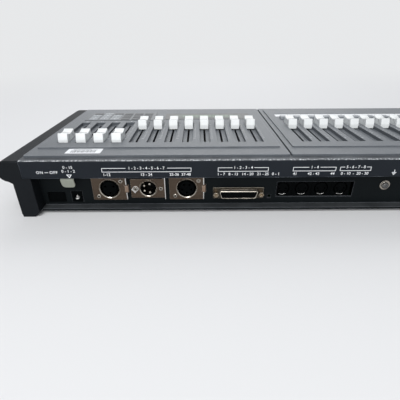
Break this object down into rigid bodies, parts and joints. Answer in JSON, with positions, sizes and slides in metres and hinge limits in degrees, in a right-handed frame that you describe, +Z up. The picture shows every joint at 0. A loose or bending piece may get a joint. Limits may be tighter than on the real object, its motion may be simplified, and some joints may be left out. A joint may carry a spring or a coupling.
{
  "type": "lighting control desk",
  "caption": "Low wedge-shaped stage lighting desk with rows of slide faders, flash buttons, display, keypad and a recessed rear connector panel under an overhanging fascia.",
  "frame": {"origin": "on the standing surface under the middle of the case", "axes": "+X to the operator's right, +Y to the rear connector side, +Z up"},
  "size_m": [0.5716, 0.2308, 0.0725],
  "materials": {
    "case_paint": "satin",
    "cheek_plastic": "fine grain",
    "bezel_plastic": "fine grain",
    "fader_white": "satin",
    "button_grey": "satin",
    "plated_steel": "dull plated",
    "black_plastic": "satin",
    "brass_plate": "dull plated",
    "bright_steel": "bright",
    "foot_rubber": "matte",
    "circuit_board": "satin",
    "display_black": "gloss",
    "keypad_film": "satin",
    "clip_plastic": "translucent"
  },
  "bodies": {
    "desk": {"top_cover": "case_paint", "base_tray": "case_paint", "left_end_cheek": "cheek_plastic", "right_end_cheek": "cheek_plastic", "channel_bezel": "bezel_plastic", "master_bezel": "bezel_plastic", "output_1_shell": "plated_steel", "output_2_shell": "plated_steel", "output_3_shell": "plated_steel", "connector_inserts": "black_plastic", "din_sockets": "black_plastic", "switch_frame": "black_plastic", "dc_inlet": "black_plastic", "serial_shell": "brass_plate", "earth_terminal": "bright_steel", "fasteners": "bright_steel", "rubber_feet": "foot_rubber", "circuit_boards": "circuit_board", "display_window": "display_black", "keypad_overlay": "keypad_film", "cable_clip": "clip_plastic"},
    "channel_fader_1": {"channel_fader_1": "fader_white"},
    "channel_fader_2": {"channel_fader_2": "fader_white"},
    "channel_fader_3": {"channel_fader_3": "fader_white"},
    "channel_fader_4": {"channel_fader_4": "fader_white"},
    "channel_fader_5": {"channel_fader_5": "fader_white"},
    "channel_fader_6": {"channel_fader_6": "fader_white"},
    "channel_fader_7": {"channel_fader_7": "fader_white"},
    "channel_fader_8": {"channel_fader_8": "fader_white"},
    "channel_fader_9": {"channel_fader_9": "fader_white"},
    "channel_fader_10": {"channel_fader_10": "fader_white"},
    "channel_fader_11": {"channel_fader_11": "fader_white"},
    "channel_fader_12": {"channel_fader_12": "fader_white"},
    "master_fader_1": {"master_fader_1": "fader_white"},
    "master_fader_2": {"master_fader_2": "fader_white"},
    "master_fader_3": {"master_fader_3": "fader_white"},
    "master_fader_4": {"master_fader_4": "fader_white"},
    "master_fader_5": {"master_fader_5": "fader_white"},
    "master_fader_6": {"master_fader_6": "fader_white"},
    "master_fader_7": {"master_fader_7": "fader_white"},
    "master_fader_8": {"master_fader_8": "fader_white"},
    "master_fader_9": {"master_fader_9": "fader_white"},
    "master_fader_10": {"master_fader_10": "fader_white"},
    "master_fader_11": {"master_fader_11": "fader_white"},
    "master_fader_12": {"master_fader_12": "fader_white"},
    "flash_button_1": {"flash_button_1": "button_grey"},
    "flash_button_2": {"flash_button_2": "button_grey"},
    "flash_button_3": {"flash_button_3": "button_grey"},
    "flash_button_4": {"flash_button_4": "button_grey"},
    "flash_button_5": {"flash_button_5": "button_grey"},
    "flash_button_6": {"flash_button_6": "button_grey"},
    "flash_button_7": {"flash_button_7": "button_grey"},
    "flash_button_8": {"flash_button_8": "button_grey"},
    "flash_button_9": {"flash_button_9": "button_grey"},
    "flash_button_10": {"flash_button_10": "button_grey"},
    "flash_button_11": {"flash_button_11": "button_grey"},
    "flash_button_12": {"flash_button_12": "button_grey"},
    "output_1_latch": {"output_1_latch": "plated_steel"},
    "output_3_latch": {"output_3_latch": "plated_steel"},
    "power_rocker": {"power_rocker": "black_plastic"}
  },
  "joints": [
    {"name": "output_1_latch_press", "type": "slide", "parent": "desk", "child": "output_1_latch", "axis": [0, -1, 0], "range_m": [0, 0.0014], "stiffness_N_per_m": 200, "springref_m": -0.001},
    {"name": "output_3_latch_press", "type": "slide", "parent": "desk", "child": "output_3_latch", "axis": [0, -1, 0], "range_m": [0, 0.0014], "stiffness_N_per_m": 200, "springref_m": -0.001},
    {"name": "power_rocker_tilt", "type": "hinge", "parent": "desk", "child": "power_rocker", "pos_m": [0.2395, 0.0989, 0.0148], "axis": [0, 0, 1], "range_deg": [0, 16]},
    {"name": "channel_fader_1_slide", "type": "slide", "parent": "desk", "child": "channel_fader_1", "axis": [0, 0.999, 0.0436], "range_m": [0, 0.06]},
    {"name": "channel_fader_2_slide", "type": "slide", "parent": "desk", "child": "channel_fader_2", "axis": [0, 0.999, 0.0436], "range_m": [0, 0.06]},
    {"name": "channel_fader_3_slide", "type": "slide", "parent": "desk", "child": "channel_fader_3", "axis": [0, 0.999, 0.0436], "range_m": [0, 0.06]},
    {"name": "channel_fader_4_slide", "type": "slide", "parent": "desk", "child": "channel_fader_4", "axis": [0, 0.999, 0.0436], "range_m": [0, 0.06]},
    {"name": "channel_fader_5_slide", "type": "slide", "parent": "desk", "child": "channel_fader_5", "axis": [0, 0.999, 0.0436], "range_m": [0, 0.06]},
    {"name": "channel_fader_6_slide", "type": "slide", "parent": "desk", "child": "channel_fader_6", "axis": [0, 0.999, 0.0436], "range_m": [0, 0.06]},
    {"name": "channel_fader_7_slide", "type": "slide", "parent": "desk", "child": "channel_fader_7", "axis": [0, 0.999, 0.0436], "range_m": [0, 0.06]},
    {"name": "channel_fader_8_slide", "type": "slide", "parent": "desk", "child": "channel_fader_8", "axis": [0, 0.999, 0.0436], "range_m": [0, 0.06]},
    {"name": "channel_fader_9_slide", "type": "slide", "parent": "desk", "child": "channel_fader_9", "axis": [0, 0.999, 0.0436], "range_m": [0, 0.06]},
    {"name": "channel_fader_10_slide", "type": "slide", "parent": "desk", "child": "channel_fader_10", "axis": [0, 0.999, 0.0436], "range_m": [0, 0.06]},
    {"name": "channel_fader_11_slide", "type": "slide", "parent": "desk", "child": "channel_fader_11", "axis": [0, 0.999, 0.0436], "range_m": [0, 0.06]},
    {"name": "channel_fader_12_slide", "type": "slide", "parent": "desk", "child": "channel_fader_12", "axis": [0, 0.999, 0.0436], "range_m": [0, 0.06]},
    {"name": "master_fader_1_slide", "type": "slide", "parent": "desk", "child": "master_fader_1", "axis": [0, 0.999, 0.0436], "range_m": [0, 0.06]},
    {"name": "master_fader_2_slide", "type": "slide", "parent": "desk", "child": "master_fader_2", "axis": [0, 0.999, 0.0436], "range_m": [0, 0.06]},
    {"name": "master_fader_3_slide", "type": "slide", "parent": "desk", "child": "master_fader_3", "axis": [0, 0.999, 0.0436], "range_m": [0, 0.06]},
    {"name": "master_fader_4_slide", "type": "slide", "parent": "desk", "child": "master_fader_4", "axis": [0, 0.999, 0.0436], "range_m": [0, 0.06]},
    {"name": "master_fader_5_slide", "type": "slide", "parent": "desk", "child": "master_fader_5", "axis": [0, 0.999, 0.0436], "range_m": [0, 0.06]},
    {"name": "master_fader_6_slide", "type": "slide", "parent": "desk", "child": "master_fader_6", "axis": [0, 0.999, 0.0436], "range_m": [0, 0.06]},
    {"name": "master_fader_7_slide", "type": "slide", "parent": "desk", "child": "master_fader_7", "axis": [0, 0.999, 0.0436], "range_m": [0, 0.06]},
    {"name": "master_fader_8_slide", "type": "slide", "parent": "desk", "child": "master_fader_8", "axis": [0, 0.999, 0.0436], "range_m": [0, 0.06]},
    {"name": "master_fader_9_slide", "type": "slide", "parent": "desk", "child": "master_fader_9", "axis": [0, 0.999, 0.0436], "range_m": [-0.06, 0]},
    {"name": "master_fader_10_slide", "type": "slide", "parent": "desk", "child": "master_fader_10", "axis": [0, 0.999, 0.0436], "range_m": [-0.06, 0]},
    {"name": "master_fader_11_slide", "type": "slide", "parent": "desk", "child": "master_fader_11", "axis": [0, 0.999, 0.0436], "range_m": [-0.06, 0]},
    {"name": "master_fader_12_slide", "type": "slide", "parent": "desk", "child": "master_fader_12", "axis": [0, 0.999, 0.0436], "range_m": [-0.06, 0]},
    {"name": "flash_button_1_press", "type": "slide", "parent": "desk", "child": "flash_button_1", "axis": [0, 0.0436, -0.999], "range_m": [0, 0.0015], "stiffness_N_per_m": 200, "springref_m": -0.001},
    {"name": "flash_button_2_press", "type": "slide", "parent": "desk", "child": "flash_button_2", "axis": [0, 0.0436, -0.999], "range_m": [0, 0.0015], "stiffness_N_per_m": 200, "springref_m": -0.001},
    {"name": "flash_button_3_press", "type": "slide", "parent": "desk", "child": "flash_button_3", "axis": [0, 0.0436, -0.999], "range_m": [0, 0.0015], "stiffness_N_per_m": 200, "springref_m": -0.001},
    {"name": "flash_button_4_press", "type": "slide", "parent": "desk", "child": "flash_button_4", "axis": [0, 0.0436, -0.999], "range_m": [0, 0.0015], "stiffness_N_per_m": 200, "springref_m": -0.001},
    {"name": "flash_button_5_press", "type": "slide", "parent": "desk", "child": "flash_button_5", "axis": [0, 0.0436, -0.999], "range_m": [0, 0.0015], "stiffness_N_per_m": 200, "springref_m": -0.001},
    {"name": "flash_button_6_press", "type": "slide", "parent": "desk", "child": "flash_button_6", "axis": [0, 0.0436, -0.999], "range_m": [0, 0.0015], "stiffness_N_per_m": 200, "springref_m": -0.001},
    {"name": "flash_button_7_press", "type": "slide", "parent": "desk", "child": "flash_button_7", "axis": [0, 0.0436, -0.999], "range_m": [0, 0.0015], "stiffness_N_per_m": 200, "springref_m": -0.001},
    {"name": "flash_button_8_press", "type": "slide", "parent": "desk", "child": "flash_button_8", "axis": [0, 0.0436, -0.999], "range_m": [0, 0.0015], "stiffness_N_per_m": 200, "springref_m": -0.001},
    {"name": "flash_button_9_press", "type": "slide", "parent": "desk", "child": "flash_button_9", "axis": [0, 0.0436, -0.999], "range_m": [0, 0.0015], "stiffness_N_per_m": 200, "springref_m": -0.001},
    {"name": "flash_button_10_press", "type": "slide", "parent": "desk", "child": "flash_button_10", "axis": [0, 0.0436, -0.999], "range_m": [0, 0.0015], "stiffness_N_per_m": 200, "springref_m": -0.001},
    {"name": "flash_button_11_press", "type": "slide", "parent": "desk", "child": "flash_button_11", "axis": [0, 0.0436, -0.999], "range_m": [0, 0.0015], "stiffness_N_per_m": 200, "springref_m": -0.001},
    {"name": "flash_button_12_press", "type": "slide", "parent": "desk", "child": "flash_button_12", "axis": [0, 0.0436, -0.999], "range_m": [0, 0.0015], "stiffness_N_per_m": 200, "springref_m": -0.001}
  ]
}
